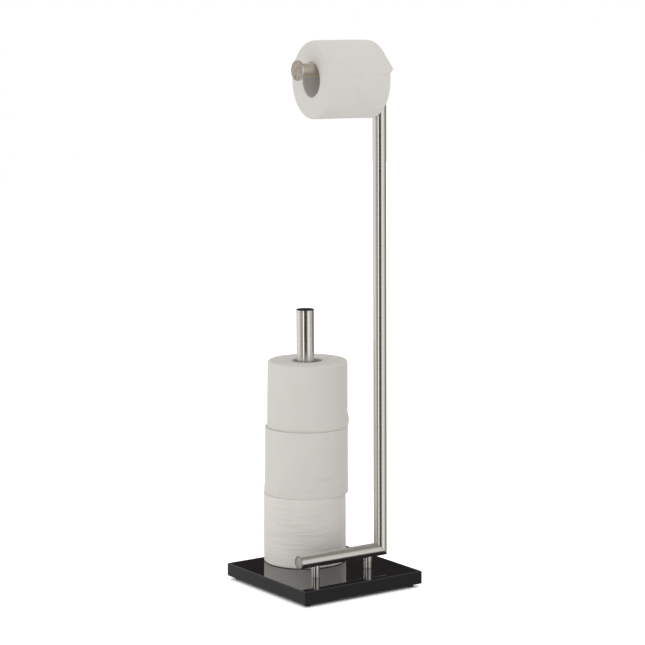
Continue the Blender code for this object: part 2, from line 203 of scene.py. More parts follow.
class RollSizes(bpy.types.PropertyGroup):
    """Sizes of the rolls that the frame leaves open."""
    paper_rounding: a_length("Paper rounding", "Rounding of a spare roll's cut edges", 0.0003)
    rim_softness: a_length("Rim softness", "Rounding of the near rim of the roll in use", 0.0032)
    far_rim_softness: a_length("Far rim softness", "Rounding of the far rim of the roll in use", 0.0030)
    foot_softness: a_length("Foot softness", "Rounding of the lowest spare roll's lower rim", 0.0014)
    # Painted light: the height over which the lowest roll's paper is painted paler
    painted_light_height: a_length("Clean foot", "Height of the paler paper low on the lowest spare roll", 0.048)
    droop: a_length("Droop", "How far the uppermost spare roll's end sags at its front", 0.0025)
    slack_rounding: a_length("Slack rounding", "Rounding of the uppermost spare roll's slack rim", 0.0038)
    dish_depth: a_length("Dish depth", "How far an open end of a roll sinks towards its core", 0.0012)
    core_wall: a_length("Core wall", "Thickness of a cardboard core", 0.0008)
    swell: a_length("Swell", "Height of a roll's broad unevenness", 0.0003)
    ripple: a_length("Ripple", "Height of the shallow ripples round a roll", 0.00008)
    wrinkle: a_length("Wrinkle", "Depth of the level wrinkles low on the spare rolls", 0.00023)
    crease: a_length("Crease", "Depth of a slanting crease", 0.0006)
    sheet_step: a_length("Sheet step", "Height of a spare roll's outer sheet edge", 0.0003)
    sheet_thickness: a_length("Sheet thickness", "Thickness of the loose last sheet", 0.00012)
    tooth_pitch: a_length("Tooth pitch", "Spacing of the torn teeth along the loose sheet's edge", 0.0025)


class Colours(bpy.types.PropertyGroup):
    """Base colours of the finishes."""
    stone: a_colour("Stone", "Polished black stone", (0.0035, 0.0034, 0.0048))
    steel: a_colour("Satin steel", "Tubes, posts and rod", (0.765, 0.755, 0.725))
    disc: a_colour("Brushed disc", "Face of the arm's end disc", (0.428, 0.378, 0.325))
    plug: a_colour("Rail plug", "Face of the plug in the rail's end", (0.375, 0.36, 0.325))
    # The arm's warm tint is a painted reflection of the paper and core it mirrors, not a colour of its steel
    arm: a_colour("Warm-tinted arm", "The arm, tinted warm as a painted reflection of the paper", (0.92, 0.84, 0.72))
    plating: a_colour("Plated steel", "Screws, washers and foot plug", (0.60, 0.61, 0.63))
    rubber: a_colour("Rubber", "Feet", (0.012, 0.012, 0.012))
    plastic: a_colour("Plastic", "Cap of the rod", (0.012, 0.011, 0.010))
    paper: a_colour("Tissue", "Soft paper of the spare rolls", (0.625, 0.607, 0.575))
    # Painted light: the spare rolls' paper, painted lighter for the roll in use
    paper_in_use_painted_light: a_colour("Tissue in use", "Soft paper of the roll in use", (0.665, 0.648, 0.617))
    board: a_colour("Cardboard", "Cores of the rolls", (0.64, 0.61, 0.59))


class StageSettings(bpy.types.PropertyGroup):
    """Camera, light and floor."""
    heading: an_angle("Heading", "Direction the camera looks in, from +Y towards +X", 34.496)
    pitch: an_angle("Pitch", "How far the camera looks down", 8.076)
    roll: an_angle("Roll", "Clockwise tilt of the camera", 0.314)
    distance: a_length("Distance", "Level distance from the middle of the base", 3.0920)
    height: a_length("Height", "Height of the camera above the floor", 0.8154)
    focal_length: a_level("Focal length", "Lens in millimetres", 123.7)
    sensor_width: a_level("Sensor width", "Width of the camera's sensor in millimetres", 36.0)
    ambient: a_level("Ambient", "Level of the light from all round", 1.02)
    key_watts: FloatProperty(
        name="Key light", description="Power of the soft lamp at the left", default=7.9, unit="POWER")
    floor_glow: a_level("Floor glow", "White that the floor shows the camera besides its light", 0.45)
    shadow_start: a_length("Shadow start", "How far inside the slab's outline the full shadow ends", 0.010)
    shadow_end: a_length("Shadow end", "How far outside the slab's outline the floor is white", 0.001)


def deselect():
    """Leave no object selected."""
    for piece in bpy.context.view_layer.objects:
        piece.select_set(False)


def pick(piece):
    """Make one object the only selected one and the active one."""
    deselect()
    piece.select_set(True)
    bpy.context.view_layer.objects.active = piece


def apply_modifiers(piece):
    """Apply a piece's modifiers in their order."""
    pick(piece)
    for modifier in list(piece.modifiers):
        bpy.ops.object.modifier_apply(modifier=modifier.name)


def settle(piece, matrix):
    """Put a piece in place and leave its object at the origin, unturned."""
    piece.matrix_world = matrix
    pick(piece)
    bpy.ops.object.transform_apply(location=True, rotation=True, scale=True)


def at(x, y, z=0.0):
    """The place of an upright piece."""
    return Matrix.Translation((x, y, z))


def lying_along_x(x, y, z):
    """The place of a turned piece whose height runs along +X from a point."""
    return at(x, y, z) @ Matrix.Rotation(math.pi / 2, 4, "Y")


def turn(name, outline, steps, place=None, closed=False):
    """Turn an outline of (radius, height) points about Z, and settle the piece in its place.

    A plane is merged to one vertex, which is extruded along the outline and then spun.
    """
    points = [Vector((radius, 0.0, height)) for radius, height in outline]
    if closed:
        points.append(points[0])
    deselect()
    bpy.ops.mesh.primitive_plane_add(size=1)
    piece = bpy.context.object
    piece.name = name
    piece.data.name = name
    bpy.ops.object.mode_set(mode="EDIT")
    bpy.ops.mesh.select_mode(type="VERT")
    bpy.ops.mesh.merge(type="CENTER")
    bpy.ops.transform.translate(value=points[0])
    for start, end in zip(points, points[1:]):
        bpy.ops.mesh.extrude_region_move(TRANSFORM_OT_translate={"value": end - start})
    bpy.ops.mesh.select_all(action="SELECT")
    bpy.ops.mesh.spin(steps=steps, angle=2 * math.pi, center=(0, 0, 0), axis=(0, 0, 1))
    bpy.ops.mesh.select_all(action="SELECT")
    bpy.ops.mesh.remove_doubles(threshold=MERGE_DISTANCE)
    bpy.ops.mesh.normals_make_consistent(inside=False)
    bpy.ops.object.mode_set(mode="OBJECT")
    if place:
        settle(piece, place)
    return piece


def run(low, high, count):
    """Evenly spaced values from one end to the other, both ends included."""
    return [low + (high - low) * i / count for i in range(count + 1)]


def corner(centre, radius, start_deg, end_deg, steps=4):
    """Points along a rounded corner of an outline."""
    angles = [math.radians(angle) for angle in run(start_deg, end_deg, steps)]
    return [(centre[0] + radius * math.cos(a), centre[1] + radius * math.sin(a)) for a in angles]


def solid_outline(radius, low, high):
    """The outline of a plain round piece."""
    return [(0.0, high), (radius, high), (radius, low), (0.0, low)]


def ring_outline(outer, inner, low, high):
    """The closed outline of a plain tube or ring."""
    return [(outer, high), (outer, low), (inner, low), (inner, high)]


def subtract(piece, cutter):
    """Cut a piece with another, which is then deleted."""
    boolean = piece.modifiers.new("cut", "BOOLEAN")
    boolean.object = cutter
    boolean.operation = "DIFFERENCE"
    boolean.solver = "EXACT"
    apply_modifiers(piece)
    bpy.data.objects.remove(cutter)


def round_edges(piece, width, sharper_than_deg=40):
    """Bevel a piece's sharp edges."""
    bevel = piece.modifiers.new("rounding", "BEVEL")
    bevel.width = width
    bevel.segments = 2
    bevel.limit_method = "ANGLE"
    bevel.angle_limit = math.radians(sharper_than_deg)
    apply_modifiers(piece)


def copy_piece(piece, name):
    """A copy with a mesh of its own."""
    double = piece.copy()
    double.data = piece.data.copy()
    double.name = name
    double.data.name = name
    bpy.context.scene.collection.objects.link(double)
    return double


def hand_over(piece, body, node, slot, *materials):
    """Give a finished piece its materials and shading, and let it stand for its node."""
    indices = [face.material_index for face in piece.data.polygons]
    piece.data.materials.clear()
    for material in materials:
        piece.data.materials.append(material)
    if len(materials) > 1:
        piece.data.polygons.foreach_set("material_index", indices)
    pick(piece)
    bpy.ops.object.shade_smooth_by_angle(angle=math.radians(SMOOTH_DEG))
    weighted = piece.modifiers.new("flat_faces", "WEIGHTED_NORMAL")
    weighted.keep_sharp = True
    apply_modifiers(piece)
    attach(piece, body)
    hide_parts(node)


def box_middle(node):
    """The middle of a node's box, its low corner and its high corner."""
    low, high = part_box(node)
    return (low + high) / 2, low, high


def label(name):
    """A node input's label, from its plain name."""
    return name.replace("_", " ").title()


class Nodes:
    """A node tree, with the steps that materials, effects and the world share."""

    def __init__(self, tree):
        self.tree = tree

    def feed(self, value, socket):
        """Link an output to an input, or set the input to a plain value."""
        if isinstance(value, bpy.types.NodeSocket):
            self.tree.links.new(value, socket)
        else:
            socket.default_value = value

    def add(self, kind, **values):
        """Add a node, and feed its inputs or set its properties by their names."""
        node = self.tree.nodes.new("ShaderNode" + kind)
        for name, value in values.items():
            if label(name) in node.inputs:
                self.feed(value, node.inputs[label(name)])
            else:
                setattr(node, name, value)
        return node

    def maths(self, operation, first, second=None, clamp=False):
        """The result of a Math node."""
        node = self.add("Math", operation=operation, use_clamp=clamp)
        self.feed(first, node.inputs[0])
        if second is not None:
            self.feed(second, node.inputs[1])
        return node.outputs[0]

    def ramp(self, value, low, high, to_low=0.0, to_high=1.0):
        """A value's range mapped onto another, clamped."""
        return self.add("MapRange", value=value, from_min=low, from_max=high, to_min=to_low,
                        to_max=to_high).outputs["Result"]

    def mix(self, factor, first, second):
        """Two colours mixed by a mask, each an output or plain."""
        node = self.add("Mix", data_type="RGBA", factor=factor)
        for colour, socket in ((first, node.inputs[6]), (second, node.inputs[7])):
            self.feed(colour if isinstance(colour, bpy.types.NodeSocket) else (*colour, 1.0), socket)
        return node.outputs[2]

    def noise(self, vector, **values):
        """A noise texture's mask."""
        return self.add("TexNoise", vector=vector, **values).outputs["Fac"]

    def split(self, vector):
        """The X, Y and Z of a vector."""
        return tuple(self.add("SeparateXYZ", vector=vector).outputs)


def start_effect(name, results, **numbers):
    """Start an effect that maps a vector and named numbers to grey masks."""
    tree = bpy.data.node_groups.new(name, "ShaderNodeTree")
    tree.interface.new_socket("Vector", in_out="INPUT", socket_type="NodeSocketVector")
    for number, default in numbers.items():
        socket = tree.interface.new_socket(label(number), in_out="INPUT", socket_type="NodeSocketFloat")
        socket.default_value = default
    for result in results:
        tree.interface.new_socket(result, in_out="OUTPUT", socket_type="NodeSocketFloat")
    effects[name] = tree
    given = tree.nodes.new("NodeGroupInput").outputs
    wanted = tree.nodes.new("NodeGroupOutput").inputs
    return Nodes(tree), given, wanted


def make_brushed_grain():
    """Fine parallel scratches: a mask for roughness and a height for bump.

    The vector is stretched by the material, so that the scratches run across its long axis.
    """
    effect, given, wanted = start_effect("brushed_grain", ("Mask", "Height"), patchiness=0.4)
    fine = effect.noise(given["Vector"], scale=1.0, detail=3.0, roughness=0.6)
    broad = effect.noise(given["Vector"], scale=0.09, detail=2.0, roughness=0.5)
    patches = effect.maths("MULTIPLY", broad, given["Patchiness"])
    effect.feed(effect.maths("ADD", fine, patches, clamp=True), wanted["Mask"])
    effect.feed(fine, wanted["Height"])


def make_mottle():
    """Soft patches with fine specks in them, for stone, rubber and board."""
    effect, given, wanted = start_effect("mottle", ("Patches", "Specks"), patch_size=0.01, speck_size=0.0006)
    for size, result in (("Patch Size", "Patches"), ("Speck Size", "Specks")):
        frequency = effect.maths("DIVIDE", 1.0, given[size])
        texture = effect.noise(given["Vector"], scale=frequency, detail=3.0, roughness=0.55)
        effect.feed(effect.ramp(texture, 0.3, 0.7), wanted[result])


def make_tissue():
    """Soft tissue: shallow pressed dimples, tangled fibres and faint cloudy shading."""
    effect, given, wanted = start_effect("tissue", ("Clouds", "Height"), dimple_size=0.0016)
    frequency = effect.maths("DIVIDE", 1.0, given["Dimple Size"])
    dimples = effect.add("TexVoronoi", feature="SMOOTH_F1", vector=given["Vector"], scale=frequency,
                         randomness=0.7)
    fibres = effect.noise(given["Vector"], scale=2600.0, detail=4.0, roughness=0.7, distortion=1.2)
    clouds = effect.noise(given["Vector"], scale=38.0, detail=3.0, roughness=0.6)
    pressed = effect.maths("MULTIPLY", dimples.outputs["Distance"], 0.55)
    tangled = effect.maths("MULTIPLY", fibres, 0.45)
    effect.feed(effect.maths("ADD", pressed, tangled), wanted["Height"])
    effect.feed(clouds, wanted["Clouds"])


class Finish(Nodes):
    """A material under construction, with its shader and its mapped Object coordinates."""

    def __init__(self, name, colour, roughness, metallic=0.0, gloss=0.5):
        self.material = bpy.data.materials.new(name)
        self.material.use_nodes = True
        super().__init__(self.material.node_tree)
        self.shader = self.tree.nodes["Principled BSDF"]
        self.put("Base Color", (*colour, 1.0))
        self.put("Roughness", roughness)
        self.put("Metallic", metallic)
        self.put("Specular IOR Level", gloss)

    def put(self, socket, value):
        """Feed or set one of the shader's inputs."""
        self.feed(value, self.shader.inputs[socket])

    def coordinates(self, location=(0, 0, 0), rotation=(0, 0, 0), scale=(1, 1, 1)):
        """Object coordinates, moved and turned to a piece and then scaled."""
        place = self.add("TexCoord").outputs["Object"]
        return self.add("Mapping", vector_type="TEXTURE", vector=place, location=location, rotation=rotation,
                        scale=[1 / share for share in scale]).outputs["Vector"]

    def effect(self, name, vector, **numbers):
        """Place a shared effect and return its masks."""
        return self.add("Group", node_tree=effects[name], vector=vector, **numbers).outputs

    def tint(self, factor, first, second, low=0.3, high=0.7):
        """Vary the base colour between two colours with a mask."""
        self.put("Base Color", self.mix(self.ramp(factor, low, high), first, second))

    def fade_to(self, factor, colour):
        """Fade the base colour into a plain one with a mask."""
        tinted = self.shader.inputs["Base Color"].links[0].from_socket
        self.put("Base Color", self.mix(factor, tinted, colour))

    def roughen(self, factor, smooth, rough, low=0.2, high=0.8):
        """Vary the roughness with a mask."""
        self.put("Roughness", self.ramp(factor, low, high, smooth, rough))

    def emboss(self, height, distance):
        """Raise the surface by a height mask times a distance."""
        self.put("Normal", self.add("Bump", strength=1.0, distance=distance, height=height).outputs["Normal"])


def shade(colour, share):
    """A colour made lighter or darker by a share."""
    return [channel * share for channel in colour]


def stone_finish(name, colour, smooth, rough, gloss, coat=0.0):
    """Black stone with pale specks, whose polish may be topped by a coat."""
    finish = Finish(name, colour, smooth, gloss=gloss)
    finish.put("Coat Weight", coat)
    masks = finish.effect("mottle", finish.coordinates(), patch_size=0.012, speck_size=0.0009)
    finish.tint(masks["Specks"], colour, shade(colour, 2.6), 0.45, 0.95)
    finish.roughen(masks["Patches"], smooth, rough)
    return finish.material


def steel_finish(name, colour, scratches, smooth, rough, bump=0.00002, slant_deg=0, dull=0.94,
                 spread=(0.3, 0.8)):
    """Satin metal whose fine scratches run across the axis with the most of them."""
    finish = Finish(name, colour, smooth, metallic=1.0)
    rotation = (math.radians(slant_deg), 0, 0)
    masks = finish.effect("brushed_grain", finish.coordinates(rotation=rotation, scale=scratches))
    finish.tint(masks["Mask"], shade(colour, dull), shade(colour, 2 - dull), *spread)
    finish.roughen(masks["Mask"], smooth, rough, 0.3, 0.9)
    finish.emboss(masks["Height"], bump)
    return finish


def tube_finish(name, colour, axis, smooth, rough, bump=0.000002):
    """Satin tube, brushed round its axis, which spreads its highlights along it."""
    scratches = [FINE_SCRATCHES if side == axis else LONG_SCRATCHES for side in "XYZ"]
    finish = steel_finish(name, colour, scratches, smooth, rough, bump)
    finish.put("Tangent", finish.add("Tangent", direction_type="RADIAL", axis=axis).outputs["Tangent"])
    finish.put("Anisotropic", 0.95)
    finish.put("Anisotropic Rotation", 0.25)
    return finish.material


def soft_finish(name, colour, smooth, rough, bump):
    """Rubber or plastic with fine specks."""
    finish = Finish(name, colour, smooth)
    masks = finish.effect("mottle", finish.coordinates(), patch_size=0.004, speck_size=0.0004)
    finish.tint(masks["Specks"], colour, shade(colour, 1.5))
    finish.roughen(masks["Patches"], smooth, rough)
    finish.emboss(masks["Specks"], bump)
    return finish.material


def tissue_finish(name, colour, foot=None):
    """The outside of a roll, with painted shade in the furrows that its mesh marks.

    A foot is the pair of heights between which painted light, a paler paper colour, fades into the rest.
    """
    finish = Finish(name, colour, 0.9, gloss=0.2)
    finish.put("Sheen Weight", 0.08)
    vector = finish.coordinates()
    masks = finish.effect("tissue", vector)
    furrow_shade = finish.add("Attribute", attribute_name="furrow_shade").outputs["Fac"]
    clouds = finish.ramp(masks["Clouds"], 0.3, 0.7, 0.7, 1.0)
    # Painted shade: the marked furrows are painted darker
    tone = finish.maths("SUBTRACT", clouds, finish.maths("MULTIPLY", furrow_shade, 0.6))
    finish.tint(tone, shade(colour, 0.91), colour, 0.0, 1.0)
    # Painted light: the paper is painted paler low on the roll
    if foot:
        height = finish.split(vector)[2]
        finish.fade_to(finish.ramp(height, *foot, 1.0, 0.0), shade(colour, 1.2))
    finish.emboss(masks["Height"], 0.00012)
    return finish.material


def layers_finish(name, colour, location, rotation=(0, 0, 0), dull=0.88):
    """A roll's end, where the edges of its wound layers show as fine uneven rings round its axis."""
    finish = Finish(name, colour, 0.95, gloss=0.15)
    vector = finish.coordinates(location, rotation)
    masks = finish.effect("tissue", vector, dimple_size=0.0009)
    squares = [finish.maths("MULTIPLY", side, side) for side in finish.split(vector)[:2]]
    radius = finish.maths("SQRT", finish.maths("ADD", *squares))
    wander = finish.maths("MULTIPLY", masks["Clouds"], 0.0016)
    rings = finish.add("TexNoise", noise_dimensions="1D", w=finish.maths("ADD", radius, wander), scale=1500.0,
                       detail=2.0).outputs["Fac"]
    finish.tint(rings, shade(colour, dull), shade(colour, dull + 0.1), 0.3, 0.65)
    finish.emboss(finish.maths("ADD", rings, finish.maths("MULTIPLY", masks["Height"], 0.5)), 0.00025)
    return finish.material


def board_finish(name, colour, middle, length, rotation=(0, 0, 0)):
    """Grey cardboard wound from a slanting strip, whose seam climbs round the core. Light is painted into it
    away from its ends, which are darker.
    """
    climb, painted_light_reach, seam = 0.062, 0.032, 0.06
    board_share, speck_share = 0.65, 0.35
    finish = Finish(name, colour, 0.85, gloss=0.25)
    vector = finish.coordinates(middle, rotation)
    masks = finish.effect("mottle", vector, patch_size=0.006, speck_size=0.0005)
    across, up, along = finish.split(vector)
    climbed = finish.maths("MULTIPLY", along, 2 * math.pi / climb)
    phase = finish.maths("ADD", finish.maths("ARCTAN2", up, across), climbed)
    wave = finish.maths("SINE", finish.maths("MULTIPLY", phase, 0.5))
    board = finish.ramp(finish.maths("ABSOLUTE", wave), 0.0, seam)
    grain = finish.maths("MULTIPLY", masks["Specks"], speck_share)
    reach = finish.maths("ABSOLUTE", along)
    # Painted light: the board is painted paler deep inside the core and darker towards its ends
    painted_inner_light = finish.ramp(reach, length / 2 - painted_light_reach, length / 2, 1.0, 0.5)
    tone = finish.maths("ADD", finish.maths("MULTIPLY", board, board_share), grain)
    finish.tint(finish.maths("MULTIPLY", tone, painted_inner_light), shade(colour, 0.58), shade(colour, 1.34), 0.1, 1.0)
    finish.emboss(finish.maths("ADD", board, grain), 0.0001)
    return finish.material


class HOLDER_OT_base(bpy.types.Operator):
    """Model the polished stone slab, with its recesses for the screws"""
    bl_idname = "holder.base"
    bl_label = "Stone base"

    def execute(self, context):
        sizes, stone = context.scene.stand_sizes, context.scene.holder_colours.stone
        middle, low, high = box_middle("base_plate")
        deselect()
        bpy.ops.mesh.primitive_cube_add(size=1, location=middle, scale=high - low)
        slab = context.object
        slab.name = "stone_base"
        bpy.ops.object.transform_apply(location=True, rotation=True, scale=True)
        self.chamfer_top(slab, high.z, sizes.stone_chamfer)
        round_edges(slab, sizes.stone_softening, sharper_than_deg=30)
        for name in SCREWS:
            washer, washer_low, washer_high = box_middle(name + "_washer")
            radius = (washer_high.x - washer_low.x) / 2 + sizes.recess_margin
            outline = solid_outline(radius, low.z - sizes.stone_chamfer, washer_high.z + sizes.seat_gap)
            subtract(slab, turn("recess", outline, SMALL_STEPS, at(washer.x, washer.y)))
        sides = stone_finish("polished_stone_side", stone, 0.03, 0.06, 0.21)
        # The chamfer is ground, and its paler colour is partly a painted highlight that brightens its line of
        # light
        ground_and_highlight = stone_finish("ground_edge_painted_highlight", shade(stone, 5), 0.1, 0.2, 0.5)
        top = stone_finish("polished_stone_top", stone, 0.03, 0.06, 0.5, coat=0.4)
        for face in slab.data.polygons:
            face.material_index = (face.normal.z > FACES_SLANTED_UP) + (face.normal.z > FACES_UP)
        hand_over(slab, "stand", "base_plate", "polished_black_stone", sides, ground_and_highlight, top)
        return {"FINISHED"}

    def chamfer_top(self, slab, top, width):
        """Bevel the four edges round the slab's top."""
        pick(slab)
        bpy.ops.object.mode_set(mode="EDIT")
        bpy.ops.mesh.select_mode(type="FACE")
        bpy.ops.mesh.select_all(action="DESELECT")
        bpy.ops.object.mode_set(mode="OBJECT")
        for face in slab.data.polygons:
            face.select = face.center.z > top - width / 2
        bpy.ops.object.mode_set(mode="EDIT")
        bpy.ops.mesh.region_to_loop()
        bpy.ops.mesh.bevel(offset=width, offset_type="OFFSET", segments=1, affect="EDGES")
        bpy.ops.object.mode_set(mode="OBJECT")


class HOLDER_OT_feet(bpy.types.Operator):
    """Model the four rubber feet"""
    bl_idname = "holder.feet"
    bl_label = "Rubber feet"

    def execute(self, context):
        sizes, colours = context.scene.stand_sizes, context.scene.holder_colours
        low, high = box_middle(FEET[0])[1:]
        radius, height = (high.x - low.x) / 2, high.z - low.z
        soft, dimple = sizes.foot_rounding, sizes.foot_dimple
        outline = [(0.0, height), (radius - soft / 2, height)]
        outline += corner((radius - soft / 2, height - soft / 2), soft / 2, 90, 0)
        outline += corner((radius - soft, soft), soft, 0, -90)
        outline += corner((radius - 2 * soft, dimple), dimple, -90, -180)
        outline.append((0.0, dimple))
        pattern = turn("foot_pattern", outline, SMALL_STEPS)
        rubber = soft_finish("black_rubber", colours.rubber, 0.55, 0.7, 0.00005)
        for node in FEET:
            middle, low = box_middle(node)[:2]
            foot = copy_piece(pattern, "rubber_" + node)
            settle(foot, at(middle.x, middle.y, low.z))
            hand_over(foot, "stand", node, "black_rubber", rubber)
        bpy.data.objects.remove(pattern)
        return {"FINISHED"}


def mitre(tube, point, kept_side, seam):
    """Cut a tube at 45 degrees through a point, and close its wall there."""
    pick(tube)
    bpy.ops.object.mode_set(mode="EDIT")
    bpy.ops.mesh.select_all(action="SELECT")
    normal = Vector(kept_side).normalized()
    bpy.ops.mesh.bisect(plane_co=point + normal * seam / 2, plane_no=normal, clear_inner=True)
    bpy.ops.mesh.select_mode(type="EDGE")
    bpy.ops.mesh.select_all(action="DESELECT")
    bpy.ops.mesh.select_non_manifold()
    bpy.ops.mesh.bridge_edge_loops()
    bpy.ops.mesh.select_all(action="SELECT")
    bpy.ops.mesh.normals_make_consistent(inside=False)
    bpy.ops.object.mode_set(mode="OBJECT")


class HOLDER_OT_frame(bpy.types.Operator):
    """Model the rail, the upright and the arm, mitred at their corners"""
    bl_idname = "holder.frame"
    bl_label = "Tube frame"

    def execute(self, context):
        sizes, colours = context.scene.stand_sizes, context.scene.holder_colours
        upright, upright_low, upright_high = box_middle("upright_tube")
        rail, rail_low, rail_high = box_middle("bottom_rail")
        arm, arm_low, arm_high = box_middle("top_arm")
        radius = (upright_high.x - upright_low.x) / 2
        low_corner = Vector((upright.x, rail.y, rail.z))
        high_corner = Vector((upright.x, arm.y, arm.z))
        level = tube_finish("satin_steel_level", colours.steel, "X", 0.27, 0.33)
        standing = tube_finish("satin_steel_upright", colours.steel, "Z", 0.22, 0.24, 0.0000007)
        # The arm's warm colour is a painted reflection of the paper round it
        tinted_arm = tube_finish("satin_steel_arm", colours.arm, "X", 0.44, 0.52)
        sawn = steel_finish("sawn_steel_end", shade(colours.disc, 0.45), (600, 600, 600), 0.4, 0.55, dull=0.8)
        rows = (
            ("steel_rail", "bottom_rail", lying_along_x(rail_low.x, rail.y, rail.z), rail_high.x - rail_low.x,
             {(-1, 0, -1): low_corner}, (level, sawn.material)),
            ("steel_arm", "top_arm", lying_along_x(arm_low.x, arm.y, arm.z), arm_high.x - arm_low.x,
             {(-1, 0, 1): high_corner}, (tinted_arm, )),
            ("steel_upright", "upright_tube", at(upright.x, upright.y, upright_low.z - radius / 2),
             upright_high.z - upright_low.z, {(1, 0, 1): low_corner, (1, 0, -1): high_corner}, (standing, )),
        )
        for name, node, place, length, mitres, finishes in rows:
            outline = ring_outline(radius, radius - sizes.tube_wall, 0.0, length + radius)
            tube = turn(name, outline, TUBE_STEPS, place, closed=True)
            for kept_side, point in mitres.items():
                mitre(tube, point, kept_side, sizes.mitre_gap)
            round_edges(tube, sizes.rim_rounding)
            for face in tube.data.polygons:
                face.material_index = len(finishes) > 1 and face.normal.x < FACES_LEFT
            hand_over(tube, "stand", node, "satin_steel", *finishes)
        return {"FINISHED"}


class HOLDER_OT_ends(bpy.types.Operator):
    """Model the arm's end disc and the plug in the rail's end"""
    bl_idname = "holder.ends"
    bl_label = "End disc and plug"

    def execute(self, context):
        sizes, colours = context.scene.stand_sizes, context.scene.holder_colours
        disc, disc_low, disc_high = box_middle("arm_end_disc")
        plug, plug_low, plug_high = box_middle("rail_end_plug")
        plug_radius, radius = (plug_high.y - plug_low.y) / 2, (disc_high.y - disc_low.y) / 2
        soft, thickness, depth = sizes.disc_rounding, sizes.disc_thickness, disc_high.x - disc_low.x
        outline = [(0.0, depth), (plug_radius, depth), (plug_radius, thickness)]
        outline += corner((radius - soft, thickness - soft), soft, 90, 0)
        outline += corner((radius - soft, soft), soft, 0, -90)
        outline.append((0.0, 0.0))
        end_disc = turn("steel_end_disc", outline, TUBE_STEPS, lying_along_x(disc_low.x, disc.y, disc.z))
        depth = plug_high.x - plug_low.x
        outline = [(0.0, depth), (plug_radius, depth)]
        outline += corner((plug_radius - soft, soft), soft, 0, -90)
        outline.append((0.0, 0.0))
        end_plug = turn("steel_end_plug", outline, TUBE_STEPS, lying_along_x(plug_low.x, plug.y, plug.z))
        disc_face = steel_finish("brushed_face", colours.disc, (60, 140, 420), 0.3, 0.42, slant_deg=-50,
                                 dull=0.58, spread=(0.5, 0.9))
        plug_face = steel_finish("brushed_plug", colours.plug, (60, 160, 800), 0.3, 0.42, slant_deg=-50,
                                 dull=0.82)
        rim = tube_finish("satin_steel_rim", colours.steel, "X", 0.27, 0.33)
        rows = ((end_disc, "arm_end_disc", disc_face), (end_plug, "rail_end_plug", plug_face))
        for piece, node, face in rows:
            for side in piece.data.polygons:
                side.material_index = side.normal.x >= FACES_LEFT
            hand_over(piece, "stand", node, "satin_steel", face.material, rim)
        return {"FINISHED"}


class HOLDER_OT_posts(bpy.types.Operator):
    """Model the two posts, hollowed round the rail"""
    bl_idname = "holder.posts"
    bl_label = "Rail posts"

    def execute(self, context):
        sizes, colours = context.scene.stand_sizes, context.scene.holder_colours
        rail, rail_low, rail_high = box_middle("bottom_rail")
        tube_radius = (rail_high.y - rail_low.y) / 2
        finish = tube_finish("satin_steel_post", colours.steel, "Z", 0.20, 0.22, 0.0000007)
        for node in ("rail_post_left", "rail_post_right"):
            middle, low, high = box_middle(node)
            radius, soft = (high.x - low.x) / 2, sizes.rim_rounding
            bottom = low.z - sizes.seat_gap / 2
            outline = [(0.0, rail.z), (radius, rail.z)]
            outline += corner((radius - soft, bottom + soft), soft, 0, -90)
            outline.append((0.0, bottom))
            post = turn("steel_" + node, outline, SMALL_STEPS, at(middle.x, middle.y))
            reach = 2 * radius
            place = lying_along_x(middle.x - reach, rail.y, rail.z)
            subtract(post, turn("saddle", solid_outline(tube_radius, 0.0, 2 * reach), TUBE_STEPS, place))
            hand_over(post, "stand", node, "satin_steel", finish)
        return {"FINISHED"}


class HOLDER_OT_rod(bpy.types.Operator):
    """Model the rod for the spare rolls, with its collar and its black cap"""
    bl_idname = "holder.rod"
    bl_label = "Spare roll rod"

    def execute(self, context):
        sizes, colours = context.scene.stand_sizes, context.scene.holder_colours
        rod, low, high = box_middle("spare_rod")
        cap, cap_low, cap_high = box_middle("rod_cap")
        radius, seam, soft = (high.x - low.x) / 2, sizes.seam_depth, sizes.rim_rounding
        inner, seam_z = radius - sizes.tube_wall, high.z - sizes.collar_height
        outline = corner((radius - soft, high.z - soft), soft, 90, 0)
        outline += [(radius, seam_z + seam), (radius - seam, seam_z), (radius, seam_z - seam)]
        outline += [(radius, low.z), (inner, low.z), (inner, high.z)]
        tube = turn("steel_rod", outline, TUBE_STEPS, at(rod.x, rod.y), closed=True)
        finish = tube_finish("satin_steel_rod", colours.steel, "Z", 0.20, 0.22, 0.0000007)
        hand_over(tube, "stand", "spare_rod", "satin_steel", finish)

        cap_inner, rim_bottom = inner - sizes.seat_gap, high.z + sizes.seat_gap / 2
        rim_top = cap_high.z - sizes.seat_gap
        outline = [(radius * share, rim_top + (cap_high.z - rim_top) * (1 - share ** 2))
                   for share in run(0.0, 1.0, 8)]
        outline += [(radius, rim_bottom), (cap_inner, rim_bottom), (cap_inner, cap_low.z), (0.0, cap_low.z)]
        black_cap = turn("black_rod_cap", outline, TUBE_STEPS, at(cap.x, cap.y))
        round_edges(black_cap, sizes.rim_rounding)
        plastic = soft_finish("black_plastic", colours.plastic, 0.12, 0.2, 0.000004)
        hand_over(black_cap, "stand", "rod_cap", "black_plastic", plastic)
        return {"FINISHED"}


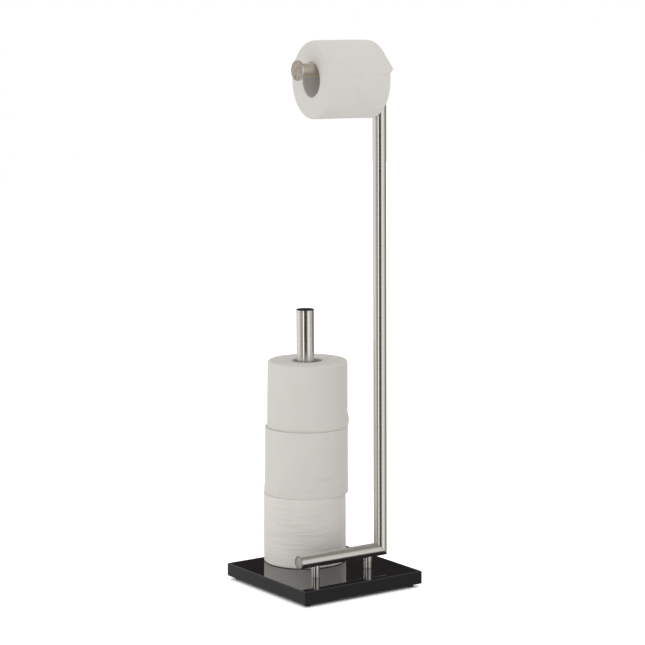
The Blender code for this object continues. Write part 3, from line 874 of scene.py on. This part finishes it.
class HOLDER_OT_fasteners(bpy.types.Operator):
    """Model the screws, the washers and the rod's foot plug under the slab"""
    bl_idname = "holder.fasteners"
    bl_label = "Screws and washers"

    def execute(self, context):
        sizes, colours = context.scene.stand_sizes, context.scene.holder_colours
        plating = steel_finish("zinc_plating", colours.plating, (900, 900, 900), 0.22, 0.38).material
        for name in SCREWS:
            screw, low, high = box_middle(name + "_screw")
            place = at(screw.x, screw.y)
            head_radius = (high.x - low.x) / 2
            radius, soft = head_radius / HEAD_SHARE, head_radius / 10
            seat = box_middle(name + "_washer")[1].z - sizes.seat_gap
            outline = [(0.0, high.z), (radius, high.z), (radius, seat)]
            outline += corner((head_radius - soft, seat - soft), soft, 90, 0)
            outline += corner((head_radius - soft, low.z + soft), soft, 0, -90)
            outline.append((0.0, low.z))
            socket_screw = turn("plated_" + name + "_screw", outline, SMALL_STEPS)
            socket_radius, socket_top = radius * SOCKET_SHARE, (low.z + seat) / 2
            outline = [(0.0, socket_top + socket_radius / 3), (socket_radius, socket_top),
                       (socket_radius, low.z - soft), (0.0, low.z - soft)]
            subtract(socket_screw, turn("socket", outline, HEXAGON_SIDES))
            settle(socket_screw, place)
            hand_over(socket_screw, "stand", name + "_screw", "zinc_plated_steel", plating)
            rings = {name + "_washer": soft / 3}
            if name == "rod":
                rings["rod_foot_plug"] = soft
            for node, rounding in rings.items():
                low, high = box_middle(node)[1:]
                outline = ring_outline((high.x - low.x) / 2, radius + sizes.seat_gap, low.z, high.z)
                ring = turn("plated_" + node, outline, SMALL_STEPS, place, closed=True)
                round_edges(ring, rounding)
                hand_over(ring, "stand", node, "zinc_plated_steel", plating)
        return {"FINISHED"}


def roll_outline(outer, core_radius, low_end, high_end):
    """The closed outline of wound paper.

    Each end is its height, the rounding of its rim, and how deep it sinks towards the core.
    """
    low, low_soft, low_dish = low_end
    high, high_soft, high_dish = high_end
    end_steps, rim_steps, side_steps, bore_steps, dish_curve = 16, 6, 110, 6, 1.5
    low_edge, high_edge = outer - low_soft, outer - high_soft
    outline = [(high_edge + (core_radius - high_edge) * share, high - high_dish * share ** dish_curve)
               for share in run(1.0, 0.0, end_steps)]
    outline += corner((high_edge, high - high_soft), high_soft, 90, 0, rim_steps)[1:]
    outline += [(outer, height) for height in run(high - high_soft, low + low_soft, side_steps)[1:]]
    outline += corner((low_edge, low + low_soft), low_soft, 0, -90, rim_steps)[1:]
    outline += [(low_edge + (core_radius - low_edge) * share, low + low_dish * share ** dish_curve)
                for share in run(0.0, 1.0, end_steps)[1:]]
    outline += [(core_radius, height) for height in run(low + low_dish, high - high_dish, bore_steps)[1:-1]]
    return outline


def degrees_off(angle, centre_deg):
    """How far an angle lies from another one round a roll, in degrees."""
    return (math.degrees(angle) - centre_deg + 180) % 360 - 180


class Wrap:
    """The soft unevenness of one standing roll's outer sheet.

    Broad swellings and shallow ripples cover it. Level wrinkles reach up to a share of its height and climb
    past an angle. Each crease is a furrow with an angle, a height share, a slope, a reach and a depth share.
    Each bulge has an angle, a height share, two widths and a height. Each slump has the height of an end, an
    angle, a width, a depth and how far it reaches from that end.
    """
    climb, climb_from_deg, climb_over_deg, wander = 0.02, -112, 60, 0.004
    wrinkles_fade = 0.35
    crease_width = 0.03
    droop_from = 0.7

    # Waves of its noises: how many go around, and how many there are per metre of height
    swells, ripples, wandering = (1.2, 22), (2.6, 210), (1.8, 35)
    wrinkles, small_wrinkles = (1.3, 270), (4.0, 520)

    def __init__(self, sizes, seed, low, high, step=0.0, wrinkled_to=0.0, creases=(), bulges=(), droop=0.0,
                 slumps=()):
        self.sizes, self.low, self.high, self.step, self.droop = sizes, low, high, step, droop
        self.shift = Vector((seed, seed * 2.7, seed * 1.3))
        self.wrinkled_to, self.creases, self.bulges, self.slumps = wrinkled_to, creases, bulges, slumps

    def share(self, height):
        """A height as a share of the roll's length."""
        return (height - self.low) / (self.high - self.low)

    def noise(self, angle, height, waves):
        """Smooth noise with a number of waves around and per metre of height."""
        around, upwards = waves
        point = Vector((math.cos(angle) * around, math.sin(angle) * around, height * upwards))
        return noise.noise(point + self.shift)

    def furrow(self, angle, height):
        """Depth of the wrinkles and creases."""
        share, turn_deg = self.share(height), math.degrees(angle)
        fade = min(1.0, max(0.0, (self.wrinkled_to - share) / self.wrinkles_fade))
        depth = 0.0
        if fade > 0.0:
            past = max(0.0, (turn_deg - self.climb_from_deg) / self.climb_over_deg)
            climbed = height - self.climb * past ** 2 * (turn_deg < 0)
            climbed += self.wander * self.noise(angle, height, self.wandering)
            folds = self.noise(angle, climbed, self.wrinkles)
            folds += 0.5 * self.noise(angle, climbed, self.small_wrinkles)
            depth += self.sizes.wrinkle * fade * folds
        for crease_deg, crease_share, slope, reach_deg, strength in self.creases:
            along = (turn_deg - crease_deg) / reach_deg
            across = (share - crease_share - slope * along) / self.crease_width
            if abs(along) < 1 and abs(across) < 3:
                depth += self.sizes.crease * strength * math.exp(-across ** 2) * (1 - along ** 2)
        return depth

    def depth(self, angle, height):
        """How far the sheet lies below its full radius, less than zero where it stands proud."""
        share = self.share(height)
        sink = self.sizes.swell * self.noise(angle, height, self.swells)
        sink += self.sizes.ripple * self.noise(angle, height, self.ripples)
        sink += self.step * (0.5 - (angle / (2 * math.pi) + 0.75) % 1.0)
        for bulge_deg, bulge_share, wide_deg, tall_share, rise in self.bulges:
            off = degrees_off(angle, bulge_deg) / wide_deg
            sink -= rise * math.exp(-off ** 2 - ((share - bulge_share) / tall_share) ** 2)
        for end, slump_deg, wide_deg, fall, reach in self.slumps:
            off = degrees_off(angle, slump_deg) / wide_deg
            sink += fall * math.exp(-off ** 2 - abs(height - end) / reach)
        return sink + self.furrow(angle, height)

    def sag(self, angle, height):
        """How far the upper end sinks, most where it faces the front."""
        facing = 0.5 + 0.5 * math.cos(angle - math.radians(FRONT_DEG))
        above = max(0.0, (self.share(height) - self.droop_from) / (1 - self.droop_from))
        return self.droop * facing ** 2 * above ** 2


def crumple(piece, outer, wrap):
    """Give a standing roll its soft unevenness, and mark its furrows for painted shade."""
    rim_share = 0.8
    furrow_shade = piece.data.attributes.new("furrow_shade", "FLOAT", "POINT")
    for vertex, mark in zip(piece.data.vertices, furrow_shade.data):
        radius = math.hypot(vertex.co.x, vertex.co.y)
        outer_share = max(0.0, (radius / outer - rim_share) / (1 - rim_share))
        if outer_share == 0.0:
            continue
        angle = math.atan2(vertex.co.y, vertex.co.x)
        factor = 1 - wrap.depth(angle, vertex.co.z) * outer_share / radius
        # The mark paints shade into the wrinkles and creases
        mark.value = min(1.0, max(0.0, wrap.furrow(angle, vertex.co.z) / wrap.sizes.wrinkle)) * outer_share
        sag = wrap.sag(angle, vertex.co.z)
        vertex.co.x *= factor
        vertex.co.y *= factor
        vertex.co.z -= sag * outer_share


def split_ends(piece, outer, slant=0.85):
    """Give the faces of a standing roll's two ends and bore the second material."""
    side_share = 0.9
    for face in piece.data.polygons:
        near_side = math.hypot(face.center.x, face.center.y) > outer * side_share
        face.material_index = not (near_side and abs(face.normal.z) < slant)


def make_core(name, radius, wall, low, high, place):
    """A cardboard tube with softened rims."""
    core = turn(name, ring_outline(radius, radius - wall, low, high), CORE_STEPS, closed=True)
    round_edges(core, wall / 4)
    settle(core, place)
    return core


class HOLDER_OT_spare_rolls(bpy.types.Operator):
    """Model the three spare rolls on the rod"""
    bl_idname = "holder.spare_rolls"
    bl_label = "Spare rolls"

    def execute(self, context):
        sizes, colours = context.scene.roll_sizes, context.scene.holder_colours
        gap = context.scene.stand_sizes.seat_gap
        for seed, name in enumerate(SPARE_PAINTED_LIGHT, start=SEED_OF_LOWEST):
            middle, low, high = box_middle("spare_paper_" + name)
            core, core_low, core_high = box_middle("spare_core_" + name)
            outer, core_radius = (high.x - low.x) / 2, (core_high.x - core_low.x) / 2
            lower, upper = low.z - gap * FILLED_BETWEEN, high.z + gap * FILLED_BETWEEN
            low_soft, soft, dish, droop, foot = sizes.paper_rounding, sizes.paper_rounding, 0.0, 0.0, None
            if name == "bottom":
                lower, low_soft = low.z - gap * FILLED_BELOW, sizes.foot_softness
                # The paler paper at this foot is painted light
                foot = (lower, lower + sizes.painted_light_height)
            if name == "top":
                upper, soft, dish, droop = high.z, sizes.slack_rounding, sizes.dish_depth, sizes.droop
            outline = roll_outline(outer, core_radius + gap, (lower, low_soft, 0.0), (upper, soft, dish))
            paper = turn("tissue_roll_" + name, outline, ROLL_STEPS, closed=True)
            crumple(paper, outer, Wrap(sizes, seed, low.z, high.z, sizes.sheet_step, WRINKLED_TO[name],
                                       CREASES[name], BULGES[name], droop))
            split_ends(paper, outer)
            settle(paper, at(middle.x, middle.y))
            # Painted light: this roll's paper colour is scaled by its share, most on the lowest roll
            tone = shade(colours.paper, SPARE_PAINTED_LIGHT[name])
            outside = tissue_finish("tissue_" + name, tone, foot)
            ends = layers_finish("tissue_layers_" + name, tone, (middle.x, middle.y, 0))
            hand_over(paper, "spare_" + name, "spare_paper_" + name, "tissue_paper", outside, ends)
            board = board_finish("cardboard_" + name, colours.board, core, core_high.z - core_low.z)
            tube = make_core("cardboard_core_" + name, core_radius, sizes.core_wall, core_low.z,
                             core_high.z - dish, at(core.x, core.y))
            hand_over(tube, "spare_" + name, "spare_core_" + name, "grey_cardboard", board)
        return {"FINISHED"}


class HOLDER_OT_top_roll(bpy.types.Operator):
    """Model the roll in use, with its core and its loose last sheet"""
    bl_idname = "holder.top_roll"
    bl_label = "Roll in use"

    def execute(self, context):
        sizes, colours = context.scene.roll_sizes, context.scene.holder_colours
        gap = context.scene.stand_sizes.seat_gap
        hinge = next(joint for joint in frame["joints"] if joint["name"] == "top_roll_turn")
        axis, centre = Vector(hinge["axis"]).normalized(), Vector(hinge["pos_m"])
        skew = math.atan2(axis.y, axis.x)
        place = at(*centre) @ Matrix.Rotation(skew, 4, "Z") @ Matrix.Rotation(math.pi / 2, 4, "Y")
        turned = (0, math.pi / 2, skew)
        low, high = box_middle("top_roll_paper")[1:]
        core_low, core_high = box_middle("top_roll_core")[1:]
        outer, core_radius = (high.z - low.z) / 2, (core_high.z - core_low.z) / 2
        half = ((high.x - low.x) - 2 * outer * abs(axis.y)) / axis.x / 2
        dish = sizes.dish_depth / 2
        outline = roll_outline(outer, core_radius + gap, (-half, sizes.rim_softness, dish),
                               (half, sizes.far_rim_softness, 0.0))
        paper = turn("tissue_roll_in_use", outline, ROLL_STEPS, closed=True)
        slumps = [(end * half, *slump) for end, *slump in SLUMPS_IN_USE]
        wrap = Wrap(sizes, SEED_IN_USE, -half, half, creases=(CREASE_IN_USE, ), slumps=slumps)
        crumple(paper, outer, wrap)
        split_ends(paper, outer, slant=0.5)
        settle(paper, place)
        # The roll in use has the same paper as the spares, painted lighter
        outside = tissue_finish("tissue_in_use", colours.paper_in_use_painted_light)
        ends = layers_finish("tissue_layers_in_use", colours.paper_in_use_painted_light, centre, turned, dull=0.89)
        hand_over(paper, "top_roll", "top_roll_paper", "tissue_paper", outside, ends)

        board = board_finish("cardboard_in_use", colours.board, centre, 2 * half, turned)
        tube = make_core("cardboard_core_in_use", core_radius, sizes.core_wall, dish - half, half - gap,
                         place)
        hand_over(tube, "top_core", "top_roll_core", "grey_cardboard", board)

        sheet = self.make_loose_sheet(sizes, outer, half, wrap)
        settle(sheet, place)
        hand_over(sheet, "top_roll", "top_roll_tail", "tissue_paper", outside)
        return {"FINISHED"}

    def make_loose_sheet(self, sizes, outer, half, wrap):
        """The last sheet, which leaves the wrap behind the top and lifts off at its far front corner.

        Angles are in degrees from the front over the top, and the torn edge is the front one.
        """
        start_deg, end_deg, corner_deg, end_slant_deg = 118.0, 6.0, 14.5, 2.0
        leaving_deg, lifting_deg, corner_from, torn_from = 30.0, 34.0, 0.94, 0.995
        lift, most_lifted, set_in, overhang, clearance = 0.0013, 1.3, 0.0050, 0.0037, 0.00006
        tooth_share, tucked_in, far_curve, corner_curve = 0.2, 3, 4, 16
        deselect()
        bpy.ops.mesh.primitive_grid_add(x_subdivisions=160, y_subdivisions=120, size=1)
        sheet = bpy.context.object
        sheet.name = "loose_sheet"
        near = sizes.rim_softness - half
        for vertex in sheet.data.vertices:
            along, round_share = vertex.co.x + 0.5, vertex.co.y + 0.5
            far = half - set_in + (overhang + set_in) * round_share ** far_curve
            height = near + (far - near) * along
            into_corner = max(0.0, along - corner_from) / (1 - corner_from)
            torn_deg = end_deg + end_slant_deg * along + (corner_deg - end_deg - end_slant_deg) * into_corner
            angle_deg = start_deg + (torn_deg - start_deg) * round_share
            angle = math.radians(angle_deg)
            if round_share > torn_from:
                tooth = abs((height / sizes.tooth_pitch) % 1.0 - 0.5) * 2
                angle += tooth * sizes.tooth_pitch * tooth_share / outer
            lifted = max(0.0, (lifting_deg - angle_deg) / (lifting_deg - corner_deg)) ** 2
            lifted *= along ** corner_curve
            rise = min(1.0, (start_deg - angle_deg) / leaving_deg)
            level = min(height, half - sizes.far_rim_softness)
            around = math.atan2(-math.cos(angle), -math.sin(angle))
            radius = outer - wrap.depth(around, level) - tucked_in * sizes.sheet_thickness * (1 - rise)
            radius += (clearance + sizes.sheet_thickness / 2) * rise + lift * min(lifted, most_lifted)
            vertex.co = (-radius * math.sin(angle), -radius * math.cos(angle), height)
        solid = sheet.modifiers.new("thickness", "SOLIDIFY")
        solid.thickness = sizes.sheet_thickness
        solid.offset = 0.0
        apply_modifiers(sheet)
        return sheet


class HOLDER_OT_stage(bpy.types.Operator):
    """Set up the floor, the light and the camera"""
    bl_idname = "holder.stage"
    bl_label = "Stage"

    def execute(self, context):
        stage = context.scene.stage_settings
        context.scene.view_settings.view_transform = "Standard"
        base, high = box_middle("base_plate")[::2]
        self.add_camera(context, stage, base)
        self.add_floor(stage, base, high)
        self.add_lamp(stage)
        self.light_world(context, stage)
        return {"FINISHED"}

    def add_camera(self, context, stage, base):
        """The camera, which looks at the front left corner from a little above."""
        place = (base.x - math.sin(stage.heading) * stage.distance,
                 base.y - math.cos(stage.heading) * stage.distance, stage.height)
        deselect()
        bpy.ops.object.camera_add(location=place)
        camera = context.object
        look = Euler((math.pi / 2 - stage.pitch, 0.0, -stage.heading)).to_matrix()
        camera.rotation_euler = (look @ Matrix.Rotation(-stage.roll, 3, "Z")).to_euler()
        camera.data.lens = stage.focal_length
        camera.data.sensor_width = stage.sensor_width
        camera.data.clip_end = 50.0
        context.scene.camera = camera

    def add_floor(self, stage, base, high):
        """A pale floor that glows white to the camera and still takes the object's shadow.

        Its glow fades under the slab's edge, which paints a shadow there on top of the real one.
        """
        deselect()
        bpy.ops.mesh.primitive_plane_add(size=FLOOR_SIZE)
        floor = bpy.context.object
        floor.name = "floor"
        floor.visible_glossy = False
        finish = Finish("pale_floor", FLOOR_COLOUR, 0.9, gloss=0.0)
        x, y = finish.split(finish.coordinates())[:2]
        reaches = []
        for side, centre, half in ((x, base.x, high.x - base.x), (y, base.y, high.y - base.y)):
            offset = finish.maths("ABSOLUTE", finish.maths("SUBTRACT", side, centre))
            reaches.append(finish.maths("SUBTRACT", offset, half))
        beyond = finish.maths("MAXIMUM", *reaches)
        # Painted shadow: the glow fades out round the slab's outline
        glow = finish.ramp(beyond, -stage.shadow_start, stage.shadow_end, 0.0, stage.floor_glow)
        to_camera = finish.add("LightPath").outputs["Is Camera Ray"]
        finish.put("Emission Color", (*WHITE, 1.0))
        finish.put("Emission Strength", finish.maths("MULTIPLY", to_camera, glow))
        floor.data.materials.append(finish.material)

    def add_lamp(self, stage):
        """One large soft lamp at the left, at half the stand's height."""
        deselect()
        bpy.ops.object.light_add(type="AREA", location=LAMP_PLACE)
        lamp = bpy.context.object
        lamp.data.energy = stage.key_watts
        lamp.data.shape = "DISK"
        lamp.data.size = LAMP_SIZE
        lamp.visible_glossy = False
        lamp.rotation_euler = (Vector(LAMP_AIM) - lamp.location).to_track_quat("-Z", "Y").to_euler()

    def light_world(self, context, stage):
        """White to the camera, plain to soft surfaces, and to glossy ones a studio of pale panels.

        The panels stand in a ring round the object, with a dark gap where the camera is. The room is dim
        overhead and underfoot, and dark behind the object above the floor's horizon.
        """
        world = bpy.data.worlds.new("studio")
        context.scene.world = world
        world.use_nodes = True
        nodes = Nodes(world.node_tree)
        nodes.tree.nodes.clear()
        direction = nodes.add("TexCoord").outputs["Generated"]
        rightwards = (math.cos(stage.heading), -math.sin(stage.heading), 0.0)
        towards = (-math.sin(stage.heading), -math.cos(stage.heading), 0.0)
        across, facing = [self.dot(nodes, direction, vector) for vector in (rightwards, towards)]
        bearing = nodes.maths("ARCTAN2", across, facing)
        height = nodes.split(direction)[2]
        overhead = nodes.maths("MULTIPLY", nodes.ramp(height, *OVERHEAD), nodes.ramp(facing, *FAR_SIDE))
        underfoot = nodes.ramp(height, *UNDERFOOT, 1.0, 0.0)
        band = nodes.maths("MULTIPLY", nodes.ramp(height, *HORIZON), nodes.ramp(height, *DARK_TO, 1.0, 0.0))
        behind = nodes.ramp(nodes.maths("ABSOLUTE", bearing), *[math.radians(side) for side in BEHIND_DEG])
        ring = nodes.add("ValToRGB", fac=nodes.ramp(bearing, -math.pi, math.pi))
        self.fill_ring(ring.color_ramp)
        mirrored = ring.outputs["Color"]
        for mask, colour in ((overhead, DIM_ROOM), (underfoot, DIM_ROOM),
                             (nodes.maths("MULTIPLY", band, behind), DARK_ROOM)):
            mirrored = nodes.mix(mask, mirrored, colour)
        rays = nodes.add("LightPath").outputs
        light = nodes.add("Background", color=(*AMBIENT_TINT, 1.0), strength=stage.ambient).outputs[0]
        for ray, colour in (("Is Glossy Ray", mirrored), ("Is Camera Ray", (*WHITE, 1.0))):
            mix = nodes.add("MixShader")
            seen = nodes.add("Background", color=colour).outputs[0]
            for source, socket in zip((rays[ray], light, seen), mix.inputs):
                nodes.feed(source, socket)
            light = mix.outputs[0]
        nodes.add("OutputWorld", surface=light)

    def dot(self, nodes, direction, vector):
        """How far a direction runs along a vector."""
        node = nodes.add("VectorMath", operation="DOT_PRODUCT")
        nodes.feed(direction, node.inputs[0])
        nodes.feed(vector, node.inputs[1])
        return node.outputs["Value"]

    def fill_ring(self, ramp):
        """Set the ring's colour ramp, the dark panels a little warm."""
        while len(ramp.elements) < len(PANELS):
            ramp.elements.new(1.0)
        for element, panel in zip(ramp.elements, PANELS):
            element.position = panel[0] / 360 + 0.5
        for element, panel in zip(ramp.elements, PANELS):
            level = panel[1]
            dark = 1 - min(level, 1.0)
            element.color = (level * (1 + 0.10 * dark), level, level * (1 - 0.16 * dark), 1.0)


OPERATORS = (HOLDER_OT_base, HOLDER_OT_feet, HOLDER_OT_frame, HOLDER_OT_ends, HOLDER_OT_posts, HOLDER_OT_rod,
             HOLDER_OT_fasteners, HOLDER_OT_spare_rolls, HOLDER_OT_top_roll, HOLDER_OT_stage)
SETTINGS = {"stand_sizes": StandSizes, "roll_sizes": RollSizes, "holder_colours": Colours,
            "stage_settings": StageSettings}


class HOLDER_PT_panel(bpy.types.Panel):
    """Lists the steps that build the holder, and their sizes and colours"""
    bl_idname = "HOLDER_PT_panel"
    bl_label = "Toilet roll holder"
    bl_space_type = "VIEW_3D"
    bl_region_type = "UI"
    bl_category = "Roll Holder"

    def draw(self, context):
        for operator in OPERATORS:
            self.layout.operator(operator.bl_idname)
        for group, settings in SETTINGS.items():
            for name in settings.__annotations__:
                self.layout.prop(getattr(context.scene, group), name)


CLASSES = (*SETTINGS.values(), *OPERATORS, HOLDER_PT_panel)


def register():
    for one in CLASSES:
        bpy.utils.register_class(one)
    for name, settings in SETTINGS.items():
        setattr(bpy.types.Scene, name, PointerProperty(type=settings))


def unregister():
    for name in SETTINGS:
        delattr(bpy.types.Scene, name)
    for one in reversed(CLASSES):
        bpy.utils.unregister_class(one)


def main():
    register()
    for make_effect in (make_brushed_grain, make_mottle, make_tissue):
        make_effect()
    for operator in OPERATORS:
        family, name = operator.bl_idname.split(".")
        getattr(getattr(bpy.ops, family), name)()


if __name__ == "__main__":
    main()
